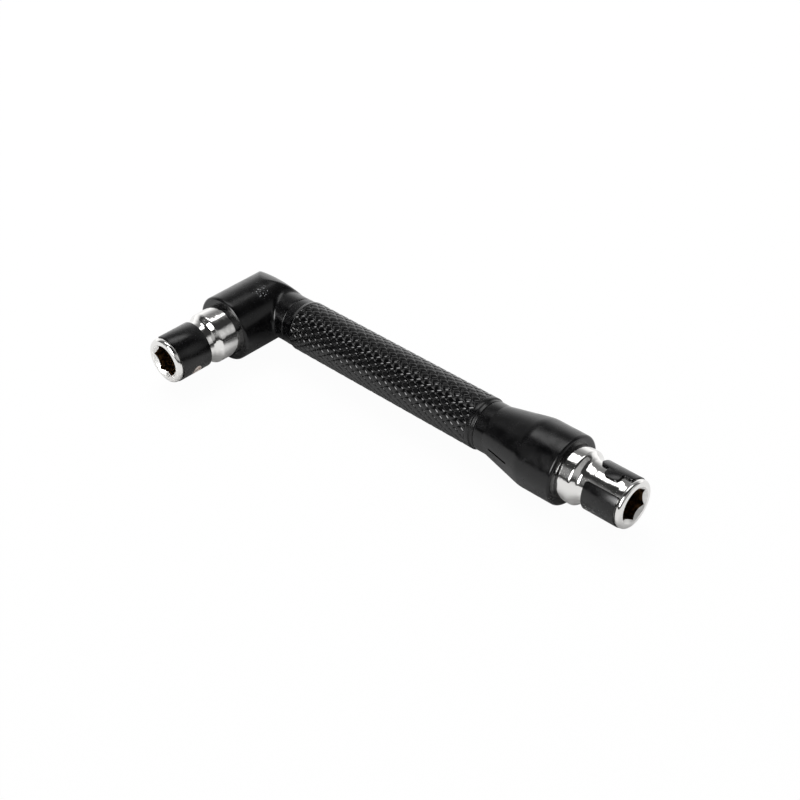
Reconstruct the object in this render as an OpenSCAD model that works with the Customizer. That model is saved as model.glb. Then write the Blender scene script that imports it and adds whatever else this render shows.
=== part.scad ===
// Offset driver for hexagon bits: a knurled handle with a socket on its end and another on a square elbow.
// The handle's axis is +X, the elbow's socket points along -Y, and the tool lies flat on Z = 0.

/* [Drive] */
// Across flats of each hexagon bore
drive_af = 6.45; // [6.4:0.05:6.6]
// Depth of each hexagon bore from its socket's tip
drive_depth = 10.5; // [9.5:0.5:11]
// How far each countersunk mouth reaches past the corners of its hexagon
mouth_over = 0.225; // [0.1:0.025:0.4]

/* [Sockets] */
// Radius of a socket's body under its clip
body_r = 4.85; // [4.6:0.05:5.4]
// How far the lip at a socket's tip stands over the body
lip_over = 0.35; // [0.25:0.05:0.5]
// Length of the lip
lip_len = 0.95; // [0.8:0.05:1.1]
// Rounding of the lip's front edge
lip_round = 0.65; // [0.4:0.05:0.75]
// Depth of the shallow hollows around the body under a clip
scoop_depth = 0.15; // [0.05:0.05:0.25]
// Distance from a tip to its collar
collar_start = 11.6; // [11.4:0.1:12]
// How far the collar stands over the body
collar_over = 1.05; // [0.8:0.05:1.3]
// Length of the collar
collar_len = 6.3; // [5.5:0.1:6.5]
// Bevel on the collar's front edge
collar_bevel = 0.45; // [0.2:0.05:0.6]
// Rounding between the body and the collar
waist_round = 1.4; // [1.1:0.1:1.6]
// Across flats of the hexagon shank that is pressed into a housing
shank_af = 8; // [7:0.1:8.4]
// Free space between the head socket's shank and the rod in the handle
shank_room = 2.1; // [0.6:0.1:4]

/* [Clips] */
// Wall of a spring clip
clip_wall = 0.45; // [0.35:0.05:0.6]
// Distance from a tip to its clip's front edge
clip_start = 1.3; // [1.2:0.05:1.6]
// Length of a clip along its socket
clip_len = 7.7; // [7:0.1:8]
// Angle from the middle of the opening to a clip's plain end
plain_end = 16.5; // [8:0.5:30]
// Angle from the middle of the opening to the shoulders beside the tongue
shoulder_end = 36; // [28:1:50]
// Angle from the middle of the opening to the tip of the tongue
tongue_end = 11.5; // [6:0.5:16]
// Width of the tongue
tongue_w = 3.3; // [2.6:0.1:4]
// Rounding of a clip's outer corners
clip_round = 0.7; // [0.3:0.1:1]
// Rounding of the two corners at the root of the tongue
root_round = 0.4; // [0.2:0.1:0.8]

/* [Detent balls] */
// How far a ball stands into its hexagon bore at rest
ball_proud = 0.33; // [0.2:0.01:0.4]
// How far a ball's top lies under the outer face of its clip
ball_under = 0.055; // [0:0.005:0.2]

/* [Elbow] */
// Distance from the handle's axis to the tip of the head socket
head_reach = 30.5; // [29.5:0.1:33]
// Distance from the handle's axis to the housing's front face
head_face = 13.55; // [13:0.05:15]
// Radius of the head housing
head_r = 7.66; // [7.2:0.02:8]
// How much larger than the head housing's the radius of the barrel that rounds the elbow's back is
barrel_over = 0.04; // [0.02:0.02:0.4]
// How far the barrel's axis lies in front of the handle's axis
barrel_set = 2.1; // [1.5:0.1:2.5]
// Radius of the barrel's long crown
barrel_crown = 41; // [35:1:60]
// How much slimmer the neck is than the smooth bands on the handle
neck_under = 0.05; // [0:0.05:0.5]
// Rounding around each housing's front face
face_round = 0.6; // [0.2:0.05:0.9]

/* [Handle] */
// Distance from the head's axis to the end of the neck
neck_end = 10.5; // [9.5:0.1:12]
// Length of the collar beside the neck
head_collar_len = 3; // [1.8:0.1:6]
// Length of its step up to the grip
head_collar_ramp = 1; // [0.6:0.1:1.4]
// Radius of the smooth bands at both ends of the grip
band_r = 5.5; // [5:0.05:6.4]
// How far the knurl's crests stand over the smooth bands
grip_over = 0.3; // [0.2:0.05:0.8]
// Length of the grip
grip_len = 51.65; // [30:0.25:90]
// Length of the collar at the grip's far end
end_collar_len = 2.05; // [1.75:0.05:4]
// Length of the raised ring on that collar
end_ring_len = 1.05; // [0.7:0.05:1.3]
// Bevel on the edges that meet at a joint line
joint_bevel = 0.2; // [0.1:0.05:0.3]

/* [End housing] */
// How far the end socket stands out of its housing
end_socket_out = 15.1; // [13.8:0.1:16.4]
// Radius of the end housing
end_r = 7.65; // [7.2:0.05:8]
// Length of the band between the joint line and the cone
band_len = 2.55; // [1:0.05:6]
// Length of the cone
cone_len = 10.25; // [8:0.25:16]
// Length of the straight stretch behind the cone
end_straight = 8.65; // [7:0.05:14]
// Rounding between the cone and the straight stretch
cone_round = 8; // [3:0.5:12]
// Distance from the cone's narrow end to the slit
slit_start = 2.05; // [1:0.05:3]
// Length of the slit
slit_len = 6; // [3:0.25:7]
// Width of the slit
slit_w = 0.28; // [0.2:0.02:0.5]
// Depth of the slit
slit_depth = 0.3; // [0.2:0.05:0.5]

/* [Core] */
// Wall of the collars where they slide over the spigots
sleeve_wall = 1.05; // [0.7:0.05:1.4]
// Least wall of the spigots outside the corners of the hexagon rod
spigot_wall = 0.936; // [0.6:0.004:1.4]
// How far the rod reaches past the head's axis
rod_past = 2; // [0:0.1:3]
// Length of each spigot that enters the grip
spigot_len = 6; // [4.5:0.1:8]
// Radius of the spring pin
pin_r = 1; // [0.75:0.05:1.1]
// Radius of the tie screw's thread
screw_r = 1.5; // [1.25:0.05:1.6]
// Length of the tie screw's thread
screw_len = 12; // [8:0.5:20]
// Radius of the tie screw's head
screw_head_r = 2.75; // [2.5:0.05:2.9]
// Height of the tie screw's head
screw_head_h = 2.6; // [2:0.1:3.4]
// Free space between the tie screw's head and the end socket
screw_room = 0.7; // [0.3:0.1:2]
// Thickness of the web that the screw's head pulls on
web = 3; // [2:0.1:4.5]
// Thickness of the lock washer
washer_t = 0.8; // [0.5:0.05:1.2]

/* [Hidden] */
$fn = 96;

// Fits and small features
press_gap = 0.02;
slide_gap = 0.05;
rod_end_gap = 0.3;
cut = 0.5;
tap_spare = 1;
pin_bore = 0.6;
pin_slit = 0.3;
pin_short = 0.1;
key_af = 2.5;
key_depth = 1.3;
washer_over = 0.25;
washer_slit = 0.5;
pocket_over = 0.35;

// The balls stand on flats of the two bores, and each clip opens opposite its ball
head_turn = -35;
end_turn = 30;

// The handle's layers, from the outside in
grip_r = band_r + grip_over;
neck_r = band_r - neck_under;
sleeve_bore = band_r - sleeve_wall;
spigot_r = sleeve_bore - slide_gap;
rod_af = (spigot_r - spigot_wall) * sqrt(3);

// A socket, measured back from its tip
mouth_r = drive_af / sqrt(3) + mouth_over;
lip_r = body_r + lip_over;
collar_r = body_r + collar_over;
collar_end = collar_start + collar_len;
shank_end = head_reach - rod_af / 2 - shank_room;
shank_len = shank_end - collar_end;
land_r = collar_r - collar_bevel;
waist_start = collar_start - waist_round;
clip_end = clip_start + clip_len;
clip_mid = clip_start + clip_len / 2;
clip_in = body_r + slide_gap;
clip_out = clip_in + clip_wall;
scoop_edge = (clip_len - tongue_w) / 2 - clip_round / 2;
front_scoop = [clip_start, clip_start + scoop_edge];
rear_scoop = [clip_end - scoop_edge / 2, waist_start];

// A ball rests in a seat of 45 degrees, and the clip's window lets its top through
ball_r = (clip_out - ball_under - drive_af / 2 + ball_proud) / 2;
ball_bore = ball_r + slide_gap;
ball_out = drive_af / 2 + ball_r - ball_proud;
window_r = sqrt(ball_r * ball_r - pow(max(0, clip_in - ball_out), 2)) + slide_gap;

// Places along the handle
grip_start = neck_end + head_collar_len;
grip_end = grip_start + grip_len;
joint_x = grip_end + end_collar_len;
cone_start = joint_x + band_len;
cone_end = cone_start + cone_len;
cone_angle = atan((end_r - band_r) / cone_len);
end_face = cone_end + end_straight;
handle_reach = end_face + end_socket_out;
screw_seat = handle_reach - shank_end - slide_gap - screw_room - screw_head_h;
web_end = screw_seat - washer_t;
web_start = web_end - web;
rod_start = -rod_past;
rod_end = web_start - rod_end_gap;
pin_x = grip_start;

barrel_r = head_r + barrel_over;

// The whole tool stands centred on the origin, on its two housings
centre_x = (handle_reach - head_r) / 2;
centre_y = (end_r - head_reach) / 2;
rest_z = max(head_r, end_r);

module seated() translate([-centre_x, -centre_y, rest_z]) children();
module along_x(from) translate([from, 0, 0]) rotate([0, 90, 0]) children();
module toward_head() rotate([90, 0, 0]) children();
module at_head() translate([0, -head_reach, 0]) rotate([90, 0, 0]) rotate([0, 0, head_turn]) children();
module at_end() translate([handle_reach, 0, 0]) rotate([0, 90, 0]) rotate([0, 0, end_turn]) children();
module back_from_tip() mirror([0, 0, 1]) rotate_extrude() children();
module hexagon(af, h) cylinder(r = af / sqrt(3), h = h, $fn = 6);

// What a rounded corner at the origin leaves over
module corner(round) difference() {
    square(round + cut);
    circle(round);
}

// A bar's half outline whose far end has a rounded edge
module rounded_bar(r, from, to, round) difference() {
    translate([0, from]) square([r, to - from]);
    translate([r - round, to - round]) corner(round);
}

// The outline of a ring between two places, with a bevel on its near edge
module ring_outline(r_in, r_out, length, bevel) polygon([
    [r_in, 0], [r_out - bevel, 0], [r_out, bevel], [r_out, length], [r_in, length]
]);

// A hollow between two places along the body, as deep as the scoop at its middle
module scoop(places) {
    half = (places[1] - places[0]) / 2;
    r = (half * half + scoop_depth * scoop_depth) / (2 * scoop_depth);
    translate([body_r - scoop_depth + r, places[0] + half]) circle(r, $fn = 360);
}

module socket_outline() {
    translate([0, lip_len]) mirror([0, 1]) rounded_bar(lip_r, 0, lip_len, lip_round);
    difference() {
        square([body_r, collar_start]);
        scoop(front_scoop);
        scoop(rear_scoop);
    }
    difference() {
        translate([0, waist_start]) square([land_r, waist_round]);
        translate([body_r + waist_round, waist_start]) circle(waist_round);
    }
    polygon([
        [0, collar_start], [land_r, collar_start], [collar_r, collar_start + collar_bevel],
        [collar_r, collar_end], [0, collar_end]
    ]);
}

module ball_bore_cut() translate([0, 0, -clip_mid]) rotate([0, 90, 0]) {
    translate([0, 0, ball_out]) cylinder(r = ball_bore, h = body_r - ball_out + cut);
    translate([0, 0, ball_out - ball_bore * (sqrt(2) - 1)]) cylinder(r = ball_bore, h = ball_bore);
    translate([0, 0, ball_out - ball_bore * sqrt(2)]) cylinder(r1 = 0, r2 = ball_bore, h = ball_bore);
}

module socket() difference() {
    union() {
        back_from_tip() socket_outline();
        translate([0, 0, -shank_end]) rotate([0, 0, 30]) hexagon(shank_af, shank_len + collar_len);
    }
    translate([0, 0, -drive_depth]) rotate([0, 0, 30]) hexagon(drive_af, drive_depth + cut);
    translate([0, 0, -mouth_r]) cylinder(r1 = 0, r2 = mouth_r + cut, h = mouth_r + cut);
    translate([0, 0, -drive_depth - drive_af / 4]) cylinder(r1 = 0, r2 = drive_af / 2, h = drive_af / 4);
    ball_bore_cut();
}

// What the ends of a clip leave open, seen from the open side: across by along
module clip_opening() {
    plain = clip_out * sin(plain_end);
    shoulder = clip_out * sin(shoulder_end);
    tip = clip_out * sin(tongue_end);
    tongue_in = tongue_w / 2 - clip_round;
    difference() {
        translate([-plain, -clip_len / 2 - cut]) square([plain + shoulder, clip_len + 2 * cut]);
        translate([tip + clip_round, -tongue_w / 2]) square([shoulder, tongue_w]);
        translate([tip, -tongue_in]) square([shoulder, 2 * tongue_in]);
        for (edge = [-1, 1]) scale([1, edge]) {
            translate([tip + clip_round, tongue_in]) circle(clip_round);
            translate([shoulder - root_round, tongue_w / 2 + root_round]) mirror([0, 1]) corner(root_round);
        }
    }
    for (edge = [-1, 1]) scale([1, edge]) {
        translate([shoulder + clip_round, clip_len / 2 - clip_round]) mirror([1, 0]) corner(clip_round);
        translate([-plain - clip_round, clip_len / 2 - clip_round]) corner(clip_round);
    }
}

module clip() difference() {
    translate([0, 0, -clip_end]) cylinder(r = clip_out, h = clip_len);
    translate([0, 0, -clip_end - cut]) cylinder(r = clip_in, h = clip_len + 2 * cut);
    translate([0, 0, -clip_mid]) rotate([0, -90, 0]) rotate([0, 0, 90])
        linear_extrude(clip_out + cut) clip_opening();
    translate([0, 0, -clip_mid]) rotate([0, 90, 0]) cylinder(r = window_r, h = clip_out + cut);
}

module ball() translate([ball_out, 0, -clip_mid]) sphere(ball_r);

// The space for a socket's collar and shank
module socket_pocket() {
    translate([0, 0, -collar_end]) cylinder(r = collar_r + press_gap, h = collar_end);
    translate([0, 0, -shank_end - slide_gap]) rotate([0, 0, 30])
        hexagon(shank_af + 2 * press_gap, shank_len + collar_len);
}

module barrel() translate([0, -barrel_set, 0]) along_x(-head_r) rotate_extrude() intersection() {
    square([barrel_r, 2 * head_r]);
    translate([barrel_r - barrel_crown, head_r]) circle(barrel_crown, $fn = 360);
}

module pin_hole(gap) translate([pin_x, 0, -spigot_r - cut]) cylinder(r = pin_r + gap, h = 2 * (spigot_r + cut));

module head_housing() color("#1c1c1e") seated() difference() {
    union() {
        toward_head() rotate_extrude() rounded_bar(head_r, barrel_set, head_face, face_round);
        intersection() {
            toward_head() translate([0, 0, -head_r]) cylinder(r = head_r, h = head_r + barrel_set);
            barrel();
        }
        along_x(0) cylinder(r = neck_r, h = neck_end - joint_bevel);
        along_x(neck_end - joint_bevel) cylinder(r1 = neck_r, r2 = neck_r - joint_bevel, h = joint_bevel);
        along_x(0) cylinder(r = spigot_r, h = neck_end + spigot_len);
    }
    at_head() socket_pocket();
    along_x(rod_start) hexagon(rod_af + 2 * press_gap, rod_past + neck_end + spigot_len + cut);
    pin_hole(press_gap);
}

module head_socket() color("#d6d8da") seated() at_head() socket();

// The head's clip is fitted the other way round, so its tongue points the other way
module head_socket_clip() color("#2a2a2c") seated() at_head() mirror([0, 1, 0]) clip();

module head_detent_ball() color("#c8c8ca") seated() at_head() ball();

module head_collar() color("#1f1f21") seated() along_x(neck_end) rotate_extrude() polygon([
    [sleeve_bore, 0], [band_r - joint_bevel, 0], [band_r, joint_bevel],
    [band_r, head_collar_len - head_collar_ramp], [grip_r, head_collar_len], [sleeve_bore, head_collar_len]
]);

module grip_sleeve() color("#232325") seated() along_x(grip_start) rotate_extrude()
    ring_outline(sleeve_bore, grip_r, grip_len, 0);

module end_collar() color("#1f1f21") seated() along_x(grip_end) rotate_extrude() polygon([
    [sleeve_bore, 0], [grip_r - joint_bevel / 2, 0], [grip_r, joint_bevel / 2], [grip_r, end_ring_len],
    [band_r, end_ring_len + joint_bevel], [band_r, end_collar_len - joint_bevel],
    [band_r - joint_bevel, end_collar_len], [sleeve_bore, end_collar_len]
]);

module end_outline() {
    blend = cone_round * tan(cone_angle / 2);
    steps = 6;
    translate([0, joint_x]) polygon(concat(
        [[0, 0], [band_r - joint_bevel, 0], [band_r, joint_bevel], [band_r, cone_start - joint_x]],
        [for (i = [0 : steps]) let (a = cone_angle * (1 - i / steps)) [
            end_r - cone_round * (1 - cos(a)),
            cone_end - joint_x + blend - cone_round * sin(a)
        ]],
        [[end_r, end_face - face_round - joint_x], [0, end_face - face_round - joint_x]]
    ));
    rounded_bar(end_r, end_face - 2 * face_round, end_face, face_round);
}

module end_housing() color("#1c1c1e") seated() difference() {
    union() {
        along_x(0) rotate_extrude() end_outline();
        along_x(joint_x - spigot_len) cylinder(r = spigot_r, h = spigot_len + joint_bevel);
    }
    at_end() socket_pocket();
    along_x(joint_x - spigot_len - cut) hexagon(rod_af + 2 * press_gap, web_start - joint_x + spigot_len + cut);
    along_x(web_start - cut) cylinder(r = screw_r + slide_gap, h = web + 2 * cut);
    along_x(web_end) cylinder(r = screw_head_r + pocket_over, h = handle_reach - shank_end - web_end + cut);
    translate([cone_start + slit_start, -band_r - slit_start * tan(cone_angle), 0])
        rotate([0, 0, -cone_angle]) translate([0, -slit_depth, -slit_w / 2])
        cube([slit_len, 2 * slit_depth, slit_w]);
}

module end_socket() color("#d6d8da") seated() at_end() socket();
module end_socket_clip() color("#2a2a2c") seated() at_end() clip();
module end_detent_ball() color("#c8c8ca") seated() at_end() ball();

module core_rod() color("#8f9194") seated() difference() {
    along_x(rod_start) hexagon(rod_af, rod_end - rod_start);
    along_x(screw_seat - screw_len - tap_spare) cylinder(r = screw_r + press_gap, h = screw_len + tap_spare);
    pin_hole(press_gap);
}

module rod_spring_pin() color("#77797c") seated() difference() {
    translate([pin_x, 0, pin_short / 2 - spigot_r]) cylinder(r = pin_r, h = 2 * spigot_r - pin_short);
    translate([pin_x, 0, -spigot_r - cut]) cylinder(r = pin_bore, h = 2 * (spigot_r + cut));
    translate([pin_x, -pin_slit / 2, -spigot_r - cut]) cube([pin_r + cut, pin_slit, 2 * (spigot_r + cut)]);
}

module tie_screw() color("#77797c") seated() difference() {
    union() {
        along_x(screw_seat - screw_len) cylinder(r = screw_r, h = screw_len);
        along_x(screw_seat) cylinder(r = screw_head_r, h = screw_head_h);
    }
    along_x(screw_seat + screw_head_h - key_depth) hexagon(key_af, key_depth + cut);
}

module lock_washer() color("#a9abad") seated() difference() {
    along_x(web_end) cylinder(r = screw_head_r + washer_over, h = washer_t);
    along_x(web_end - cut) cylinder(r = screw_r + slide_gap, h = washer_t + 2 * cut);
    translate([web_end - cut, 0, -washer_slit / 2])
        cube([washer_t + 2 * cut, screw_head_r + washer_over + cut, washer_slit]);
}

head_housing();
head_socket();
head_socket_clip();
head_detent_ball();
head_collar();
grip_sleeve();
end_collar();
end_housing();
end_socket();
end_socket_clip();
end_detent_ball();
core_rod();
rod_spring_pin();
tie_screw();
lock_washer();
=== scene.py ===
import math

import bmesh
import bpy
import numpy as np
from mathutils import Matrix, Vector


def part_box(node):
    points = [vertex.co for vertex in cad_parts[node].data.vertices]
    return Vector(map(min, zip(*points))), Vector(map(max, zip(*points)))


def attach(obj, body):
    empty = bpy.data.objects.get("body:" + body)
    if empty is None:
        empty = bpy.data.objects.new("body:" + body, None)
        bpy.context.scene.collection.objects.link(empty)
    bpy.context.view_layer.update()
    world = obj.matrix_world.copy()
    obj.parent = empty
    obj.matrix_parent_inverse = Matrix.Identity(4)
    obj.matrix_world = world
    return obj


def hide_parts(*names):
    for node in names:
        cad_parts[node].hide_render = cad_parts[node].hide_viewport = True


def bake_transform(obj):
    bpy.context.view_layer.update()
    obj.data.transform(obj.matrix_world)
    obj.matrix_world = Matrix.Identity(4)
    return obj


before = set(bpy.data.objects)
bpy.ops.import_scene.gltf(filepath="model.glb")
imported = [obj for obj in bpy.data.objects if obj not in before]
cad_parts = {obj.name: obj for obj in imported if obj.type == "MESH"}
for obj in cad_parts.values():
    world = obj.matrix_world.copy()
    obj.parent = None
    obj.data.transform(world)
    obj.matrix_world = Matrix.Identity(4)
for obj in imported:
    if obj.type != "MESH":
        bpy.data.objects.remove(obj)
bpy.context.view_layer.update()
mm = 0.001
scene = bpy.context.scene

# The camera stands where the photo's outlines put it, in millimetres and degrees
photoCamera = {
    "place": (173.84, -169.43, 192.90),
    "azimuth": 44.91,
    "elevation": 36.88,
    "roll": -1.60,
    "photoWidth": 800,
    "focalPixels": 1479.9,  # focal length on the photo's 800 pixels
    "sensor": 36,
}
turn = Matrix.Rotation(math.radians(photoCamera["azimuth"]), 4, "Z")
turn = turn @ Matrix.Rotation(math.radians(90 - photoCamera["elevation"]), 4, "X")
turn = turn @ Matrix.Rotation(math.radians(photoCamera["roll"]), 4, "Z")
camera = bpy.data.objects.new("camera", bpy.data.cameras.new("camera"))
camera.matrix_world = Matrix.Translation(Vector(photoCamera["place"]) * mm) @ turn
camera.data.sensor_width = photoCamera["sensor"]
camera.data.lens = photoCamera["sensor"] * photoCamera["focalPixels"] / photoCamera["photoWidth"]
camera.data.clip_start = 0.01
scene.collection.objects.link(camera)
scene.camera = camera
scene.view_settings.view_transform = "Standard"
print("camera placed")


# Places along the tool in millimetres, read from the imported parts
def span(node, axis):
    low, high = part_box(node)
    return low[axis] / mm, high[axis] / mm


def middle(node, axis):
    low, high = span(node, axis)
    return (low + high) / 2


handleY = middle("grip_sleeve", 1)
axisZ = middle("grip_sleeve", 2)
headX = middle("head_socket", 0)
endTip = span("end_socket", 0)[1]
headTip = span("head_socket", 1)[0]
endFace = span("end_housing", 0)[1]
headFace = span("head_housing", 1)[0]
neckEnd = span("head_collar", 0)[0]
gripStart, gripEnd = span("grip_sleeve", 0)
jointX = span("end_collar", 0)[1]
headR = (span("head_housing", 2)[1] - span("head_housing", 2)[0]) / 2
endR = (span("end_housing", 2)[1] - span("end_housing", 2)[0]) / 2
gripR = (span("grip_sleeve", 2)[1] - span("grip_sleeve", 2)[0]) / 2
collarR = (span("end_socket", 1)[1] - span("end_socket", 1)[0]) / 2

# A handle piece is spun about its own Z, which then points along +X, and a socket's Z points to its tip
alongHandle = Matrix.Translation((0, handleY, axisZ)) @ Matrix.Rotation(math.pi / 2, 4, "Y")
atEnd = Matrix.Translation((endTip, handleY, axisZ)) @ Matrix.Rotation(math.pi / 2, 4, "Y")
atEnd = atEnd @ Matrix.Rotation(math.radians(30), 4, "Z")
atHead = Matrix.Translation((headX, headTip, axisZ)) @ Matrix.Rotation(math.pi / 2, 4, "X")
atHead = atHead @ Matrix.Rotation(math.radians(-35), 4, "Z")


def arc(centre, radius, start, end, count):
    angles = [math.radians(start + (end - start) * i / count) for i in range(count + 1)]
    return [(centre[0] + radius * math.cos(a), centre[1] + radius * math.sin(a)) for a in angles]


# A profile of (radius, height) spun about Z
def turned(profile, steps=96, closed=False):
    bm = bmesh.new()
    verts = [bm.verts.new((r, 0, z)) for r, z in profile]
    edges = [bm.edges.new(pair) for pair in zip(verts, verts[1:])]
    if closed:
        edges.append(bm.edges.new((verts[-1], verts[0])))
    bmesh.ops.spin(bm, geom=verts + edges, cent=(0, 0, 0), axis=(0, 0, 1), angle=2 * math.pi,
                   steps=steps, use_merge=True)
    bmesh.ops.remove_doubles(bm, verts=bm.verts, dist=1e-4)
    bmesh.ops.recalc_face_normals(bm, faces=bm.faces)
    return bm


# Breaks the edges that turn by more than an angle
def breakEdges(bm, angle, width):
    edges = [e for e in bm.edges if len(e.link_faces) == 2 and e.calc_face_angle() > math.radians(angle)]
    bmesh.ops.bevel(bm, geom=edges, offset=width, offset_type="OFFSET", affect="EDGES", segments=2, profile=0.5,
                    material=-1, clamp_overlap=True)


# Draws an open loop on to new places, and returns the new loop
def drawnOn(bm, loop, place):
    made = bmesh.ops.extrude_edge_only(bm, edges=loop)["geom"]
    for vert in [g for g in made if isinstance(g, bmesh.types.BMVert)]:
        vert.co = place(vert.co)
    return [g for g in made if isinstance(g, bmesh.types.BMEdge)]


def openLoop(bm, test):
    return [e for e in bm.edges if e.is_boundary and all(test(v.co) for v in e.verts)]


def closedUp(bm):
    bmesh.ops.remove_doubles(bm, verts=bm.verts, dist=1e-3)
    bmesh.ops.recalc_face_normals(bm, faces=bm.faces)
    return bm


# Runs one modifier on a bmesh and gives the result back
def modified(bm, kind, settings, cutter=None):
    mesh = bpy.data.meshes.new("work")
    bm.to_mesh(mesh)
    bm.free()
    work = bpy.data.objects.new("work", mesh)
    scene.collection.objects.link(work)
    modifier = work.modifiers.new("work", kind)
    for name, value in settings.items():
        setattr(modifier, name, value)
    tool = None
    if cutter:
        toolMesh = bpy.data.meshes.new("cutter")
        cutter.to_mesh(toolMesh)
        cutter.free()
        tool = bpy.data.objects.new("cutter", toolMesh)
        scene.collection.objects.link(tool)
        modifier.object = tool
    ready = work.evaluated_get(bpy.context.evaluated_depsgraph_get())
    result = bmesh.new()
    result.from_mesh(ready.to_mesh())
    ready.to_mesh_clear()
    for spare in [work, tool]:
        if spare:
            bpy.data.objects.remove(spare)
    return result


# Turns a bmesh in millimetres into a piece that stands for a imported part. One that springs keeps its place with its
# shape baked in, and the ends of its spring are worked out but not used; any other piece follows the tool
def piece(name, node, bm, place, material, sharp=30, springs=None):
    bmesh.ops.transform(bm, matrix=Matrix.Scale(mm, 4) @ place, verts=bm.verts)
    mesh = bpy.data.meshes.new(name)
    bm.to_mesh(mesh)
    bm.free()
    mesh.shade_smooth()
    mesh.set_sharp_from_angle(angle=math.radians(sharp))
    mesh.materials.append(material)
    made = bpy.data.objects.new(name, mesh)
    scene.collection.objects.link(made)
    if springs:
        body, start, end = springs
        start, end = [place @ Vector(point) * mm for point in (start, end)]
        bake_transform(made)
        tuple(start)
        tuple(end)
    else:
        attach(made, "tool")
    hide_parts(node)
    print(name, "made,", sum(len(p.vertices) - 2 for p in mesh.polygons), "triangles")


def linear(hexColour):
    parts = [int(hexColour[i:i + 2], 16) / 255 for i in (1, 3, 5)]
    return tuple(p / 12.92 if p <= 0.04045 else ((p + 0.055) / 1.055) ** 2.4 for p in parts) + (1,)


# A Mix node's inputs go by number: 0 is the share, 6 and 7 are its two colours, and 2 and 3 its two numbers
def addNode(tree, kind, settings, inputs):
    node = tree.nodes.new("ShaderNode" + kind)
    for name, value in settings.items():
        setattr(node, name, value)
    for name, value in inputs.items():
        if isinstance(value, bpy.types.NodeSocket):
            tree.links.new(value, node.inputs[name])
        else:
            node.inputs[name].default_value = value
    return node


def newMaterial(name):
    material = bpy.data.materials.new(name)
    material.use_nodes = True
    tree = material.node_tree
    shader = tree.nodes["Principled BSDF"]
    place = addNode(tree, "TexCoord", {}, {}).outputs["Object"]
    return material, tree, shader, place


noiseSpan = {"From Min": 0.3, "From Max": 0.7}  # where nearly all values of a noise lie

# Satin black coat sprayed and baked on die-cast metal: nearly black, with a soft broad gloss, a fine orange peel and a
# patch of grey scuffs where the elbow's top rubs against other tools. Lengths in the looks are in millimetres
blackCoatLook = {
    "colour": "#040405",
    "dusty": "#09090a",
    "cloud": 2.2,
    "rough": (0.14, 0.31),
    "peel": 0.35,
    "peelHeight": 0.0022,
    "ior": 1.42,
    "scuffColour": "#a0a1a4",
    "scuffRough": 0.5,
    "scuffAt": (-44.8, 7.2, 14.8),
    "scuffReach": 3.2,
    "scuffCore": 0.3,  # the share of the reach where scuffs are as dense as in the middle
    "scuffDense": 0.19,
    "scuffSize": 0.32,
    "scuffSpan": (0.8, 0.82),
}
blackCoat, tree, shader, place = newMaterial("satinBlackCoat")
look = blackCoatLook
peel = addNode(tree, "TexNoise", {}, {"Vector": place, "Scale": 1 / (look["peel"] * mm), "Detail": 2})
cloud = addNode(tree, "TexNoise", {}, {"Vector": place, "Scale": 1 / (look["cloud"] * mm), "Detail": 5})
tone = addNode(tree, "Mix", {"data_type": "RGBA"},
               {0: cloud.outputs["Fac"], 6: linear(look["colour"]), 7: linear(look["dusty"])})
rough = addNode(tree, "MapRange", {},
                {"Value": cloud.outputs["Fac"], **noiseSpan, "To Min": look["rough"][0], "To Max": look["rough"][1]})
apart = addNode(tree, "VectorMath", {"operation": "DISTANCE"}, {0: place, 1: [c * mm for c in look["scuffAt"]]})
near = addNode(tree, "MapRange", {"interpolation_type": "SMOOTHSTEP"},
               {"Value": apart.outputs["Value"], "From Min": look["scuffCore"] * look["scuffReach"] * mm,
                "From Max": look["scuffReach"] * mm, "To Min": look["scuffDense"], "To Max": 0})
speck = addNode(tree, "TexNoise", {}, {"Vector": place, "Scale": 1 / (look["scuffSize"] * mm), "Detail": 3})
sparse = addNode(tree, "Math", {"operation": "ADD"}, {0: speck.outputs["Fac"], 1: near.outputs["Result"]})
scuff = addNode(tree, "MapRange", {}, {"Value": sparse.outputs[0], "From Min": look["scuffSpan"][0],
                                       "From Max": look["scuffSpan"][1]})
rubbed = addNode(tree, "Mix", {"data_type": "RGBA"},
                 {0: scuff.outputs["Result"], 6: tone.outputs[2], 7: linear(look["scuffColour"])})
dulled = addNode(tree, "Mix", {"data_type": "FLOAT"},
                 {0: scuff.outputs["Result"], 2: rough.outputs["Result"], 3: look["scuffRough"]})
bump = addNode(tree, "Bump", {}, {"Height": peel.outputs["Fac"], "Distance": look["peelHeight"] * mm})
shader.inputs["IOR"].default_value = look["ior"]
tree.links.new(rubbed.outputs[2], shader.inputs["Base Color"])
tree.links.new(dulled.outputs[0], shader.inputs["Roughness"])
tree.links.new(bump.outputs["Normal"], shader.inputs["Normal"])

# The same coat on the rolled diamond knurl, which hands have rubbed smoother
knurlLook = {"colour": "#050506", "cloud": 1.2, "rough": (0.06, 0.11), "grain": 0.2, "grainHeight": 0.004}
blackKnurl, tree, shader, place = newMaterial("blackCoatedKnurl")
look = knurlLook
cloud = addNode(tree, "TexNoise", {}, {"Vector": place, "Scale": 1 / (look["cloud"] * mm), "Detail": 4})
grain = addNode(tree, "TexNoise", {}, {"Vector": place, "Scale": 1 / (look["grain"] * mm), "Detail": 2})
rough = addNode(tree, "MapRange", {},
                {"Value": cloud.outputs["Fac"], **noiseSpan, "To Min": look["rough"][0], "To Max": look["rough"][1]})
bump = addNode(tree, "Bump", {}, {"Height": grain.outputs["Fac"], "Distance": look["grainHeight"] * mm})
shader.inputs["Base Color"].default_value = linear(look["colour"])
shader.inputs["IOR"].default_value = blackCoatLook["ior"]
tree.links.new(rough.outputs["Result"], shader.inputs["Roughness"])
tree.links.new(bump.outputs["Normal"], shader.inputs["Normal"])

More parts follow.
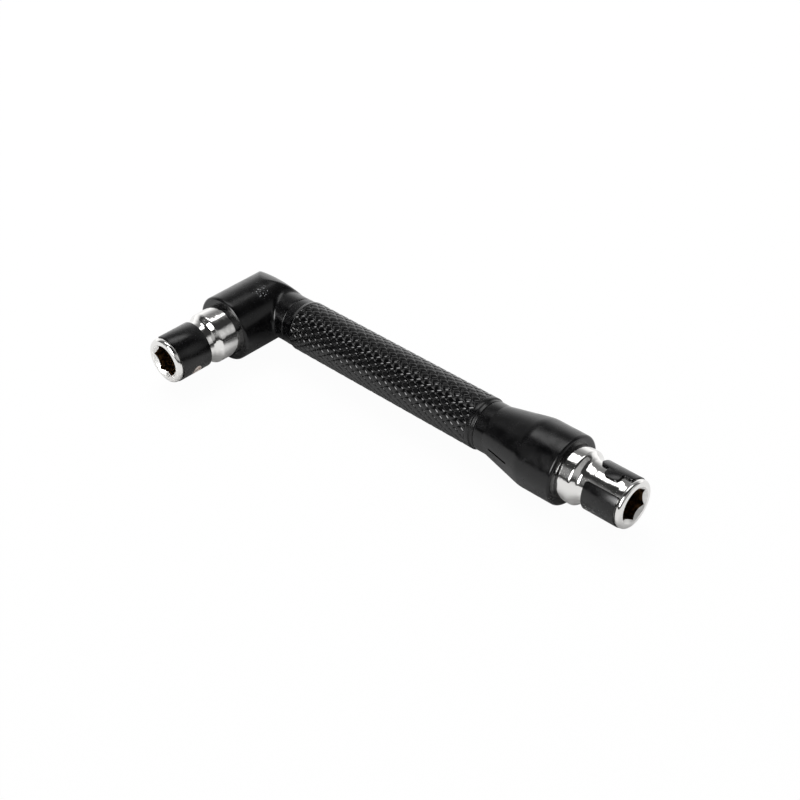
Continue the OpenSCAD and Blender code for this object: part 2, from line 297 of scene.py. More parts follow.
# Bright chrome plate over turned steel: a clear mirror, a little wavy, dulled in the countersink where bits rub, with
# brown oxide down the bore where the plate doesn't reach
chromeLook = {
    "plate": "#e5e4e2",
    "smear": 3,
    "smearSpan": (0.35, 0.7),
    "rough": (0.06, 0.13),
    "wave": 1.2,
    "waveHeight": 0.036,
    "rubbedRough": 0.45,
    "oxide": "#261a13",
    "rust": "#755638",
    "blotch": 0.8,
    "blotchSpan": (0.4, 0.65),
    "boreRough": 0.55,
}
chromePlate, tree, shader, place = newMaterial("chromePlate")
look = chromeLook
smear = addNode(tree, "TexNoise", {}, {"Vector": place, "Scale": 1 / (look["smear"] * mm), "Detail": 4})
rough = addNode(tree, "MapRange", {}, {"Value": smear.outputs["Fac"], "From Min": look["smearSpan"][0],
                                       "From Max": look["smearSpan"][1], "To Min": look["rough"][0],
                                       "To Max": look["rough"][1]})
wave = addNode(tree, "TexNoise", {}, {"Vector": place, "Scale": 1 / (look["wave"] * mm), "Detail": 2})
bump = addNode(tree, "Bump", {}, {"Height": wave.outputs["Fac"], "Distance": look["waveHeight"] * mm})
bareAndGlint = addNode(tree, "Attribute", {"attribute_name": "bore"}, {})
blotch = addNode(tree, "TexNoise", {}, {"Vector": place, "Scale": 1 / (look["blotch"] * mm), "Detail": 4})
patchy = addNode(tree, "MapRange", {}, {"Value": blotch.outputs["Fac"], "From Min": look["blotchSpan"][0],
                                        "From Max": look["blotchSpan"][1]})
rusty = addNode(tree, "Mix", {"data_type": "RGBA"},
                {0: patchy.outputs["Result"], 6: linear(look["oxide"]), 7: linear(look["rust"])})
tone = addNode(tree, "Mix", {"data_type": "RGBA"},
               {0: bareAndGlint.outputs["Fac"], 6: linear(look["plate"]), 7: rusty.outputs[2]})
rubbed = addNode(tree, "Attribute", {"attribute_name": "countersink"}, {})
frosted = addNode(tree, "Mix", {"data_type": "FLOAT"},
                  {0: rubbed.outputs["Fac"], 2: rough.outputs["Result"], 3: look["rubbedRough"]})
dulled = addNode(tree, "Mix", {"data_type": "FLOAT"},
                 {0: bareAndGlint.outputs["Fac"], 2: frosted.outputs[0], 3: look["boreRough"]})
shader.inputs["Metallic"].default_value = 1
tree.links.new(tone.outputs[2], shader.inputs["Base Color"])
tree.links.new(dulled.outputs[0], shader.inputs["Roughness"])
tree.links.new(bump.outputs["Normal"], shader.inputs["Normal"])

# Blackened spring steel: a thin black oxide, cloudy from oil, and rubbed bare where the ball works in its window; that
# bare patch is painted near white as a highlight, to give the glint at the window
clipLook = {
    "oxide": "#060607",
    "cloudy": "#0c0c0d",
    "cloud": 1.2,
    "cloudHeight": 0.006,
    "rough": (0.18, 0.32),
    "ior": 1.44,
    # painted highlight: the near-white metal round the window is bare steel made bright to stand in for the glint
    # there
    "bareAndGlint": "#efe2d9",
    "bareGlintRough": 0.55,
    "windowAt": (5.2, 0, -5.15),  # in a socket's own millimetres
    "bareGlintReach": 1.8,
    "bareGlintEdge": 0.2,
    "bareGlintPinch": 1.45,  # how much less far it reaches along the socket
}
springSteel, tree, shader, place = newMaterial("blackenedSpringSteel")
look = clipLook
cloud = addNode(tree, "TexNoise", {}, {"Vector": place, "Scale": 1 / (look["cloud"] * mm), "Detail": 5})
rough = addNode(tree, "MapRange", {},
                {"Value": cloud.outputs["Fac"], **noiseSpan, "To Min": look["rough"][0], "To Max": look["rough"][1]})
tone = addNode(tree, "Mix", {"data_type": "RGBA"},
               {0: cloud.outputs["Fac"], 6: linear(look["oxide"]), 7: linear(look["cloudy"])})
windows = []
for socket in (atEnd, atHead):
    window = socket @ Vector(look["windowAt"]) * mm
    off = addNode(tree, "VectorMath", {"operation": "SUBTRACT"}, {0: place, 1: window})
    along = socket.to_3x3() @ Vector((0, 0, 1))
    pinch = [1 + (look["bareGlintPinch"] - 1) * abs(c) for c in along]
    squeezed = addNode(tree, "VectorMath", {"operation": "MULTIPLY"}, {0: off.outputs["Vector"], 1: pinch})
    windows.append(addNode(tree, "VectorMath", {"operation": "LENGTH"}, {0: squeezed.outputs["Vector"]}))
apart = addNode(tree, "Math", {"operation": "MINIMUM"},
                {0: windows[0].outputs["Value"], 1: windows[1].outputs["Value"]})
# A painted highlight: within the reach of either window the clip turns to near-white metal, rubbed bare steel made
# bright for the window's glint
bareAndGlint = addNode(tree, "MapRange", {}, {"Value": apart.outputs[0],
                                      "From Min": (look["bareGlintReach"] - look["bareGlintEdge"]) * mm,
                                      "From Max": look["bareGlintReach"] * mm, "To Min": 1, "To Max": 0})
wornAndGlint = addNode(tree, "Mix", {"data_type": "RGBA"},
               {0: bareAndGlint.outputs["Result"], 6: tone.outputs[2], 7: linear(look["bareAndGlint"])})
dulled = addNode(tree, "Mix", {"data_type": "FLOAT"},
                 {0: bareAndGlint.outputs["Result"], 2: rough.outputs["Result"], 3: look["bareGlintRough"]})
bump = addNode(tree, "Bump", {}, {"Height": cloud.outputs["Fac"], "Distance": look["cloudHeight"] * mm})
shader.inputs["IOR"].default_value = look["ior"]
tree.links.new(wornAndGlint.outputs[2], shader.inputs["Base Color"])
tree.links.new(bareAndGlint.outputs["Result"], shader.inputs["Metallic"])
tree.links.new(dulled.outputs[0], shader.inputs["Roughness"])
tree.links.new(bump.outputs["Normal"], shader.inputs["Normal"])

# Hardened bearing steel, lapped to a mirror with a slightly warm tint
ballLook = {"colour": "#d8d2ce", "smear": 0.5, "rough": (0.05, 0.14)}
bearingSteel, tree, shader, place = newMaterial("bearingSteel")
look = ballLook
smear = addNode(tree, "TexNoise", {}, {"Vector": place, "Scale": 1 / (look["smear"] * mm), "Detail": 3})
rough = addNode(tree, "MapRange", {},
                {"Value": smear.outputs["Fac"], "To Min": look["rough"][0], "To Max": look["rough"][1]})
shader.inputs["Base Color"].default_value = linear(look["colour"])
shader.inputs["Metallic"].default_value = 1
tree.links.new(rough.outputs["Result"], shader.inputs["Roughness"])

# Bright drawn steel of the hidden rod, pin, screw and washer, with fine lines along the drawing
drawnLook = {"colour": "#9a9c9e", "streak": 0.12, "squeeze": 0.04, "rough": (0.22, 0.42)}
drawnSteel, tree, shader, place = newMaterial("brightDrawnSteel")
look = drawnLook
lines = addNode(tree, "Mapping", {}, {"Vector": place, "Scale": (look["squeeze"], 1, 1)})
streak = addNode(tree, "TexNoise", {}, {"Vector": lines.outputs["Vector"], "Scale": 1 / (look["streak"] * mm),
                                        "Detail": 2})
rough = addNode(tree, "MapRange", {},
                {"Value": streak.outputs["Fac"], "To Min": look["rough"][0], "To Max": look["rough"][1]})
shader.inputs["Base Color"].default_value = linear(look["colour"])
shader.inputs["Metallic"].default_value = 1
tree.links.new(rough.outputs["Result"], shader.inputs["Roughness"])
print("materials made")

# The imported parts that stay
keptParts = {"head_detent_ball": bearingSteel, "end_detent_ball": bearingSteel, "core_rod": drawnSteel,
             "rod_spring_pin": drawnSteel, "tie_screw": drawnSteel, "lock_washer": drawnSteel}
for node, material in keptParts.items():
    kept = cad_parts[node]
    kept.data.materials.clear()
    kept.data.materials.append(material)

# A chromed socket in millimetres from its tip
socketSizes = {
    "hexAcross": 6.45,
    "boreDepth": 10.5,
    "plateDepth": 0.03,  # how far the chrome reaches past the mouth's countersink
    "drillInset": 0.02,
    "mouthR": 3.949,
    "lipR": 5.2,
    "lipLength": 0.95,
    "lipRound": 0.65,
    "bodyR": 4.85,
    "scoops": ((1.3, 3.15), (8.075, 10.2)),
    "scoopDepth": 0.04,
    "waistRound": 1.4,
    "waistStart": 10.2,
    "collarRound": 0.8,
    "collarAt": 12.25,
    "collarEnd": 17.9,
    "shankAcross": 8,
    "shankEnd": 25.4,
    "shankBevel": 0.4,
    "broken": (28, 0.07),  # degrees from which an edge is broken, and how wide
    "ballR": 1.2,
    "seatRoom": 0.05,
    "ballOut": 4.095,
    "ballAt": 5.15,
}


# Puts an edge on to a hexagon, whose height may follow the distance from the axis
def hexagonPlace(across, height):
    def place(co):
        angle = math.atan2(co.y, co.x)
        reach = across / 2 / math.cos((angle + math.pi / 6) % (math.pi / 3) - math.pi / 6)
        return Vector((reach * math.cos(angle), reach * math.sin(angle), height(reach)))
    return place


def roundPlace(radius, z):
    def place(co):
        scale = radius / max(math.hypot(co.x, co.y), 1e-6)
        return Vector((co.x * scale, co.y * scale, z))
    return place


def scoopPoints(s, start, end):
    steps = [i / 10 for i in range(11)]
    return [(s["bodyR"] - s["scoopDepth"] * (1 - (2 * t - 1) ** 2), -start - (end - start) * t) for t in steps]


def makeSocket(name, node, place):
    s = socketSizes
    profile = [(s["mouthR"], 0)]
    profile += arc((s["lipR"] - s["lipRound"], -s["lipRound"]), s["lipRound"], 90, 0, 8)
    profile += [(s["lipR"], -s["lipLength"]), (s["bodyR"], -s["lipLength"])]
    profile += scoopPoints(s, *s["scoops"][0]) + scoopPoints(s, *s["scoops"][1])
    profile += arc((s["bodyR"] + s["waistRound"], -s["waistStart"]), s["waistRound"], 180, 225, 10)[1:]
    profile += arc((collarR - s["collarRound"], -s["collarAt"]), s["collarRound"], 45, 0, 8)
    profile += [(collarR, -s["collarEnd"])]
    bm = turned(profile)
    breakEdges(bm, *s["broken"])
    mouth = openLoop(bm, lambda co: co.z > -s["lipLength"])
    back = openLoop(bm, lambda co: co.z < -s["collarAt"])
    boreTip = -s["boreDepth"] - s["hexAcross"] / 4
    loop = drawnOn(bm, mouth, hexagonPlace(s["hexAcross"], lambda reach: reach - s["mouthR"]))
    loop = drawnOn(bm, loop, hexagonPlace(s["hexAcross"], lambda reach: reach - s["mouthR"] - s["plateDepth"]))
    loop = drawnOn(bm, loop, hexagonPlace(s["hexAcross"], lambda reach: -s["boreDepth"]))
    loop = drawnOn(bm, loop, roundPlace(s["hexAcross"] / 2 - s["drillInset"], -s["boreDepth"]))
    drawnOn(bm, loop, roundPlace(0, boreTip))
    loop = drawnOn(bm, back, hexagonPlace(s["shankAcross"], lambda reach: -s["collarEnd"]))
    loop = drawnOn(bm, loop, hexagonPlace(s["shankAcross"], lambda reach: s["shankBevel"] - s["shankEnd"]))
    loop = drawnOn(bm, loop, hexagonPlace(s["shankAcross"] - 2 * s["shankBevel"], lambda reach: -s["shankEnd"]))
    drawnOn(bm, loop, roundPlace(0, -s["shankEnd"]))
    closedUp(bm)
    # The ball's seat is a 45 degree hole from outside, which stays narrower than the ball at the bore
    seat = s["ballR"] + s["seatRoom"]
    point = s["ballOut"] - seat * math.sqrt(2)
    outside = 7
    cutter = turned([(0, point), (seat, point + seat), (seat, outside), (0, outside)], 32)
    lie = Matrix.Translation((0, 0, -s["ballAt"])) @ Matrix.Rotation(math.pi / 2, 4, "Y")
    bmesh.ops.transform(cutter, matrix=lie, verts=cutter.verts)
    bm = modified(bm, "BOOLEAN", {"operation": "DIFFERENCE", "solver": "EXACT"}, cutter)
    # Faces are told apart for the chrome's look
    bore = bm.faces.layers.float.new("bore")
    countersink = bm.faces.layers.float.new("countersink")
    close = 0.01
    plateEnd = close - s["mouthR"] - s["plateDepth"]
    for face in bm.faces:
        reaches = [math.hypot(v.co.x, v.co.y) for v in face.verts]
        inside = max(reaches) < s["mouthR"] + close and min(v.co.z for v in face.verts) > boreTip - close
        plated = max(v.co.z - reach for v, reach in zip(face.verts, reaches)) > plateEnd
        face[bore] = 1.0 if inside and not plated else 0.0
        face[countersink] = 1.0 if inside and plated else 0.0
    piece(name, node, bm, place, chromePlate)


makeSocket("endSocket", "end_socket", atEnd)
makeSocket("headSocket", "head_socket", atHead)

# A spring clip bent from strip, in millimetres, and in degrees from the ball's window
clipSizes = {
    "innerR": 4.9,
    "wall": 0.45,
    "start": 1.3,
    "length": 7.7,
    "plainEnd": 163.5,
    "shoulder": 144,
    "tongueTip": 168.5,
    "tongueWidth": 3.3,
    "cornerR": 0.7,
    "rootR": 0.4,
    "windowR": 1.1,
    "broken": (50, 0.11),
    "springFrom": 0.5,
    "springTo": 4.6,
}


def makeClip(name, node, ball, place, way):
    s = clipSizes
    outer = s["innerR"] + s["wall"]
    plain, shoulder, tip = [outer * math.radians(s[key]) for key in ("plainEnd", "shoulder", "tongueTip")]
    half, tongue, corner, root = s["length"] / 2, s["tongueWidth"] / 2, s["cornerR"], s["rootR"]
    # Half of the flat strip, from the plain end round to the tongue and back past the window
    outline = [(-plain, 0)] + arc((corner - plain, half - corner), corner, 180, 90, 6)
    outline += arc((shoulder - corner, half - corner), corner, 90, 0, 6)
    outline += arc((shoulder + root, tongue + root), root, 180, 270, 5)
    outline += arc((tip - corner, tongue - corner), corner, 90, 0, 6)
    outline += [(tip, 0)] + arc((0, 0), s["windowR"], 0, 180, 20)
    bm = bmesh.new()
    bm.faces.new([bm.verts.new((x, y, 0)) for x, y in outline])
    # Cuts across it every 3 degrees let it bend
    for angle in range(-162, 168, 3):
        x = outer * math.radians(angle)
        bmesh.ops.bisect_plane(bm, geom=bm.verts[:] + bm.edges[:] + bm.faces[:], dist=1e-4,
                               plane_co=(x, 0, 0), plane_no=(1, 0, 0))
    bmesh.ops.mirror(bm, geom=bm.verts[:] + bm.edges[:] + bm.faces[:], axis="Y", merge_dist=1e-3)
    bmesh.ops.remove_doubles(bm, verts=bm.verts, dist=1e-3)
    for vert in bm.verts:
        angle = way * vert.co.x / outer
        vert.co = (outer * math.cos(angle), outer * math.sin(angle), vert.co.y - s["start"] - half)
    bmesh.ops.recalc_face_normals(bm, faces=bm.faces)
    bmesh.ops.solidify(bm, geom=bm.faces[:], thickness=s["wall"])
    reaches = [math.hypot(v.co.x, v.co.y) for v in bm.verts]
    between = (min(reaches) + max(reaches)) / 2
    for vert, reach in zip(bm.verts, reaches):
        wanted = outer if reach > between else s["innerR"]
        vert.co.x *= wanted / reach
        vert.co.y *= wanted / reach
    bmesh.ops.recalc_face_normals(bm, faces=bm.faces)
    breakEdges(bm, *s["broken"])
    # A line out across the window side, with the ball's name, goes to the piece, which doesn't use it
    height = -s["start"] - half
    springs = (ball, (s["springFrom"], 0, height), (s["springTo"], 0, height))
    piece(name, node, bm, place, springSteel, springs=springs)


makeClip("endSocketClip", "end_socket_clip", "end_ball", atEnd, 1)
makeClip("headSocketClip", "head_socket_clip", "head_ball", atHead, -1)

# The handle's smooth rings, as (radius, place along the ring) in millimetres
ringSizes = {
    "bandR": 5.5,
    "boreR": 4.45,
    "edge": 0.25,
    "ramp": 1,
    "land": 0.12,
    "ringLength": 1.05,
    "ringEdge": 0.15,
    "ringFall": 0.16,
    "broken": (12, 0.06),
}


# The rounded outer edge of a ring, with its points in rising order. The ring is above its face (way 1) or below (-1)
def roundedEdge(radius, height, size, way):
    points = arc((radius - size, height + way * size), size, -90 * way, 0, 5)
    return points if way > 0 else points[::-1]


def makeHeadCollar():
    s = ringSizes
    start, end = span("head_collar", 0)
    profile = [(s["boreR"], start)] + roundedEdge(s["bandR"], start, s["edge"], 1)
    profile += [(s["bandR"], end - s["ramp"]), (gripR, end - s["land"]), (gripR, end), (s["boreR"], end)]
    bm = turned(profile, 128, closed=True)
    breakEdges(bm, *s["broken"])
    piece("headCollar", "head_collar", bm, alongHandle, blackCoat)


def makeEndCollar():
    s = ringSizes
    start, end = span("end_collar", 0)
    profile = [(s["boreR"], start)] + roundedEdge(gripR, start, s["ringEdge"], 1)
    profile += [(gripR, start + s["ringLength"]), (s["bandR"], start + s["ringLength"] + s["ringFall"])]
    profile += roundedEdge(s["bandR"], end, s["edge"], -1) + [(s["boreR"], end)]
    bm = turned(profile, 128, closed=True)
    breakEdges(bm, *s["broken"])
    piece("endCollar", "end_collar", bm, alongHandle, blackCoat)


makeHeadCollar()
makeEndCollar()

# The cone and cylinder that hold the end socket, in millimetres along the handle
endSizes = {
    "bandLength": 2.55,
    "coneLength": 10.25,
    "coneRound": 8,
    "faceRound": 0.6,
    "pocketR": 5.92,
    "pocketDepth": 2.8,
    "spigotR": 4.4,
    "spigotLength": 6,
    "rodR": 3.48,
    "rodRoom": 0.3,
    "shankR": 4.68,
    "shankRoom": 0.02,
    "screwHeadR": 3.1,
    "screwR": 1.55,
    "broken": (10, 0.05),
    "slit": (2.1, 5.7, 0.42, 0.5),  # from the cone's narrow end, length, width, depth
    "slitRound": 0.45,  # share of the slit's width that each corner rounds off
}


def makeEndHousing():
    s = endSizes
    bandR = ringSizes["bandR"]
    coneStart = jointX + s["bandLength"]
    coneEnd = coneStart + s["coneLength"]
    slope = math.atan((endR - bandR) / s["coneLength"])
    reach = s["coneRound"] * math.tan(slope / 2)
    rodHoleEnd = span("core_rod", 0)[1] + s["rodRoom"]
    spigotEnd = jointX - s["spigotLength"]
    profile = [(s["screwR"], rodHoleEnd), (s["rodR"], rodHoleEnd), (s["rodR"], spigotEnd), (s["spigotR"], spigotEnd)]
    profile += [(s["spigotR"], jointX)]
    profile += roundedEdge(bandR, jointX, ringSizes["edge"], 1) + [(bandR, coneStart)]
    profile += [(endR - s["coneRound"] * (1 - math.cos(a)), coneEnd + reach - s["coneRound"] * math.sin(a))
                for a in [slope * (1 - i / 10) for i in range(11)]]
    profile += arc((endR - s["faceRound"], endFace - s["faceRound"]), s["faceRound"], 0, 90, 8)
    # Behind the socket's collar come the pockets of its shank and of the screw's head, and the screw's hole
    pocketFloor = endFace - s["pocketDepth"]
    shankFloor = endTip - socketSizes["shankEnd"] - s["shankRoom"]
    screwFloor = span("lock_washer", 0)[0]
    profile += [(s["pocketR"], endFace), (s["pocketR"], pocketFloor), (s["shankR"], pocketFloor),
                (s["shankR"], shankFloor), (s["screwHeadR"], shankFloor), (s["screwHeadR"], screwFloor),
                (s["screwR"], screwFloor)]
    bm = turned(profile, 192, closed=True)
    breakEdges(bm, *s["broken"])
    start, length, width, depth = s["slit"]
    cutter = bmesh.new()
    bmesh.ops.create_cube(cutter, size=1, matrix=Matrix.Diagonal((length, 2 * depth, width, 1)))
    ends = [e for e in cutter.edges if abs(e.verts[0].co.y - e.verts[1].co.y) > depth]
    bmesh.ops.bevel(cutter, geom=ends, offset=width * s["slitRound"], offset_type="OFFSET", affect="EDGES",
                    segments=4, profile=0.5, material=-1)
    lie = Matrix.Translation((coneStart + start, handleY - bandR - start * math.tan(slope), axisZ))
    lie = lie @ Matrix.Rotation(-slope, 4, "Z") @ Matrix.Translation((length / 2, 0, 0))
    bmesh.ops.transform(cutter, matrix=alongHandle.inverted() @ lie, verts=cutter.verts)
    bm = modified(bm, "BOOLEAN", {"operation": "DIFFERENCE", "solver": "EXACT"}, cutter)
    piece("endHousing", "end_housing", bm, alongHandle, blackCoat)


makeEndHousing()

# The square elbow in millimetres from where the two axes cross
headSizes = {
    "barrelSet": 2.1,
    "barrelR": 7.7,
    "barrelCrown": 41,
    "neckR": 5.45,
    "backRound": 0.8,
    "neckRound": 0.6,
    "faceRound": 0.6,
    "voxel": 0.24,
    "spigotEnd": 16.5,
    "spigotR": 4.4,
    "rodR": 3.48,
    "rodPast": 2.05,
    "pocketR": 5.92,
    "pocketDepth": 0.95,
    "shankR": 4.68,
    "shankDepth": 8.5,
    "edge": 0.25,
}


# How far a point lies outside the elbow's surface, with its edges and the neck's root rounded
def elbowDistance(points):
    s = headSizes
    x, y, z = points.T
    behind = np.maximum(y + s["barrelSet"], 0)
    around = np.sqrt(x * x + z * z)
    rolled = np.sqrt(behind * behind + z * z)
    aside = np.minimum(np.abs(x), 12)  # the crown's arc isn't needed further out
    crown = s["barrelR"] - s["barrelCrown"] + np.sqrt(s["barrelCrown"] ** 2 - aside ** 2)
    upright, barrel = around - headR, rolled - crown
    # The edge between the two is rounded most where they meet squarely
    facing = z * z / np.maximum(around * rolled, 1e-6)
    r = s["backRound"] * np.maximum(1 - facing, 0.02)
    body = np.where(np.minimum(upright, barrel) > -r,
                    np.sqrt((upright + r) ** 2 + (barrel + r) ** 2) - r, np.maximum(upright, barrel))
    neck = np.sqrt(y * y + z * z) - s["neckR"]
    r = s["neckRound"]
    near = np.sqrt(np.maximum(r - body, 0) ** 2 + np.maximum(r - neck, 0) ** 2)
    joined = np.maximum(r, np.minimum(body, neck)) - near
    return np.where((x > 0) & (np.maximum(body, neck) < r + 1), joined, np.where(x > 0, np.minimum(body, neck), body))


# Moves every point on to that surface, in rounds
def ontoElbow(bm):
    points = np.array([v.co for v in bm.verts])
    step, furthest, flattest = 0.01, 0.2, 0.2
    for _ in range(6):
        away = elbowDistance(points)
        slope = np.stack([(elbowDistance(points + step * axis) - elbowDistance(points - step * axis)) / (2 * step)
                          for axis in np.eye(3)], axis=1)
        steep = np.maximum((slope ** 2).sum(1), flattest)
        points -= np.clip(away, -furthest, furthest)[:, None] * slope / steep[:, None]
    for vert, point in zip(bm.verts, points):
        vert.co = point


def makeHeadHousing():
    s = headSizes
    face = headFace - handleY
    neck = neckEnd - headX
    # A rough shell of the barrel-backed upright and the neck, to be drawn on to the exact surface. It is made of an
    # upright cylinder, cut to the barrel with a block in front, and a cylinder for the neck, all a little too long
    back, half, block, past = 8, 9, 20, 2
    upX, upY = Matrix.Rotation(math.pi / 2, 4, "X"), Matrix.Rotation(math.pi / 2, 4, "Y")
    voxels = {"mode": "VOXEL", "voxel_size": s["voxel"]}
    bm = bmesh.new()
    bmesh.ops.create_cone(bm, cap_ends=True, segments=96, radius1=headR, radius2=headR, depth=back - face + 1,
                          matrix=Matrix.Translation((0, (back + face - 1) / 2, 0)) @ upX)
    crown = [(s["barrelR"] - s["barrelCrown"] + math.sqrt(s["barrelCrown"] ** 2 - x * x), x)
             for x in range(-half, half + 1)]
    barrel = turned([(0, -half)] + crown + [(0, half)])
    bmesh.ops.transform(barrel, matrix=Matrix.Translation((0, -s["barrelSet"], 0)) @ upY, verts=barrel.verts)
    bmesh.ops.create_cube(barrel, size=1, matrix=Matrix.Translation((0, -s["barrelSet"] - block / 2, 0))
                          @ Matrix.Diagonal((2 * half, block, 2 * half, 1)))
    barrel = modified(barrel, "REMESH", voxels)
    bm = modified(bm, "BOOLEAN", {"operation": "INTERSECT", "solver": "EXACT"}, barrel)
    bmesh.ops.create_cone(bm, cap_ends=True, segments=96, radius1=s["neckR"], radius2=s["neckR"], depth=neck + past,
                          matrix=Matrix.Translation(((neck + past) / 2, 0, 0)) @ upY)
    bm = modified(bm, "REMESH", voxels)
    # Both ends are cut back, and later drawn out again to their rounded edges and down into their hollows
    cutFace, cutNeck = face + 1.2, neck - 1
    for place, normal in (((0, cutFace, 0), (0, -1, 0)), ((cutNeck, 0, 0), (1, 0, 0))):
        bmesh.ops.bisect_plane(bm, geom=bm.verts[:] + bm.edges[:] + bm.faces[:], dist=1e-4, plane_co=place,
                               plane_no=normal, clear_outer=True)
    ontoElbow(bm)
    front = openLoop(bm, lambda co: co.y < cutFace + 0.1)
    side = openLoop(bm, lambda co: co.x > cutNeck - 0.1)

    def aroundHead(radius, y):
        return lambda co: Vector((co.x, 0, co.z)) * (radius / max(math.hypot(co.x, co.z), 1e-6)) + Vector((0, y, 0))

    def aroundNeck(radius, x):
        return lambda co: Vector((0, co.y, co.z)) * (radius / max(math.hypot(co.y, co.z), 1e-6)) + Vector((x, 0, 0))

    pocketFloor, shankFloor = -face - s["pocketDepth"], -face - s["shankDepth"]
    inward = arc((headR - s["faceRound"], -face - s["faceRound"]), s["faceRound"], 0, 90, 7)
    inward += [(s["pocketR"], -face), (s["pocketR"], pocketFloor), (s["shankR"], pocketFloor),
               (s["shankR"], shankFloor), (0, shankFloor)]
    for radius, depth in inward:
        front = drawnOn(bm, front, aroundHead(radius, -depth))
    outward = roundedEdge(s["neckR"], neck, s["edge"], -1)
    outward += [(s["spigotR"], neck), (s["spigotR"], s["spigotEnd"]), (s["rodR"], s["spigotEnd"]),
                (s["rodR"], -s["rodPast"]), (0, -s["rodPast"])]
    for radius, x in outward:
        side = drawnOn(bm, side, aroundNeck(radius, x))
    closedUp(bm)
    place = Matrix.Translation((headX, handleY, axisZ))
    piece("headHousing", "head_housing", bm, place, blackCoat, sharp=35)


makeHeadHousing()

# The diamond knurl in millimetres: rows of flat-topped diamonds between crossed grooves with rounded walls
knurlSizes = {
    "around": 19,  # diamonds in a ring
    "pitch": 2.92,  # along the grip
    "firstCrest": (2.38, 36),  # from the grip's start, and in degrees from the top towards the viewer
    "grooveWidth": 0.6,
    "grooveDepth": 0.125,
    "crownDrop": 0.02,
    "crownReach": 0.8,
    "cornerRound": 0.5,
    "boreR": 4.45,
    "cuts": (0.0, 0.045, 0.09, 0.135, 0.18, 0.3),  # where each cell is divided, as shares of its step
}


def makeGrip():
    s = knurlSizes
    length = gripEnd - gripStart
    girth = 2 * math.pi * gripR
    stepX, stepY = s["pitch"] / 2, girth / s["around"] / 2
    apart = 2 * stepX * stepY / math.hypot(stepX, stepY)
    cells = math.ceil((length / stepX + girth / stepY) / 2) + 3  # enough to cover the sleeve when shifted
    cuts = s["cuts"] + (0.5,) + tuple(1 - c for c in reversed(s["cuts"]) if c)
    perCell = len(cuts)
    bm = bmesh.new()
    bmesh.ops.create_grid(bm, x_segments=cells * perCell, y_segments=cells * perCell, size=0.5)
    lattice = np.array([v.co for v in bm.verts])[:, :2] + 0.5
    index = np.rint(lattice * cells * perCell).astype(int)
    # Grooves lie on whole numbers of the two diagonal steps, and the given crest in the middle between them
    share = index // perCell + np.array(cuts)[index % perCell]
    share = share - np.array([0, cells / 2])
    crest = s["firstCrest"]
    shift = np.array([crest[0] / stepX, math.radians(crest[1]) * gripR / stepY])
    offset = np.array([(shift[0] + shift[1]) / 2, (shift[0] - shift[1]) / 2]) % 1 - 0.5
    share = share + offset - np.array([2, 0])
    points = np.stack([(share[:, 0] + share[:, 1]) * stepX, (share[:, 0] - share[:, 1]) * stepY], axis=1)
    for vert, point in zip(bm.verts, points):
        vert.co = (point[0], point[1], 0)
    borders = (((0, 0, 0), (-1, 0, 0)), ((length, 0, 0), (1, 0, 0)), ((0, 0, 0), (0, -1, 0)),
               ((0, girth, 0), (0, 1, 0)))
    for place, normal in borders:
        bmesh.ops.bisect_plane(bm, geom=bm.verts[:] + bm.edges[:] + bm.faces[:], dist=1e-3, plane_co=place,
                               plane_no=normal, clear_outer=True)
    flat = np.array([v.co for v in bm.verts])
    along, across = flat[:, 0] / stepX, flat[:, 1] / stepY
    toGroove = []
    for lines in ((along + across) / 2 - offset[0], (along - across) / 2 - offset[1]):
        toGroove.append(np.abs(lines - np.rint(lines)) * apart)
    r = s["cornerRound"]
    nearest = np.minimum(*toGroove)
    rounded = r - np.sqrt(np.maximum(r - toGroove[0], 0) ** 2 + np.maximum(r - toGroove[1], 0) ** 2)
    inside = np.where(nearest < r, np.minimum(rounded, nearest), nearest)
    side = np.clip(inside / (s["grooveWidth"] / 2), 0, 1)
    side = side * side * (3 - 2 * side)  # the walls round over at the crests and at the floor
    drop = s["grooveDepth"] * (1 - side) + s["crownDrop"] * (1 - np.clip(inside / s["crownReach"], 0, 1)) ** 2
    for vert, (x, y, _), down in zip(bm.verts, flat, drop):
        angle = y / gripR
        reach = gripR - down
        # Angles run from the top towards the viewer, and local Z along the grip
        vert.co = (-reach * math.cos(angle), -reach * math.sin(angle), x + gripStart)
    bmesh.ops.remove_doubles(bm, verts=bm.verts, dist=0.01)
    start = openLoop(bm, lambda co: co.z < gripStart + 1)
    end = openLoop(bm, lambda co: co.z > gripEnd - 1)
    start = drawnOn(bm, start, roundPlace(s["boreR"], gripStart))
    start = drawnOn(bm, start, roundPlace(s["boreR"], gripEnd))
    bmesh.ops.bridge_loops(bm, edges=start + end)
    bmesh.ops.recalc_face_normals(bm, faces=bm.faces)
    piece("gripSleeve", "grip_sleeve", bm, alongHandle, blackKnurl, sharp=60)


makeGrip()

# A soft lamp over the table, which lights the floor from behind the tool
tableLamp = {"azimuth": 147, "elevation": 62, "distance": 0.7, "size": (0.5, 0.4), "strength": 5.0}
lamp = bpy.data.lights.new("tableLamp", "AREA")
lamp.shape = "RECTANGLE"
lamp.size, lamp.size_y = tableLamp["size"]
lamp.energy = tableLamp["strength"] * math.pi * lamp.size * lamp.size_y


def towards(azimuth, elevation):
    azimuth, elevation = math.radians(azimuth), math.radians(elevation)
    level = math.cos(elevation)
    return Vector((level * math.cos(azimuth), level * math.sin(azimuth), math.sin(elevation)))


away = towards(tableLamp["azimuth"], tableLamp["elevation"])
holder = bpy.data.objects.new("tableLamp", lamp)
facing = away.to_track_quat("Z", "Y").to_matrix().to_4x4()
holder.matrix_world = Matrix.Translation(away * tableLamp["distance"]) @ facing
holder.visible_camera = False
holder.visible_glossy = False
scene.collection.objects.link(holder)

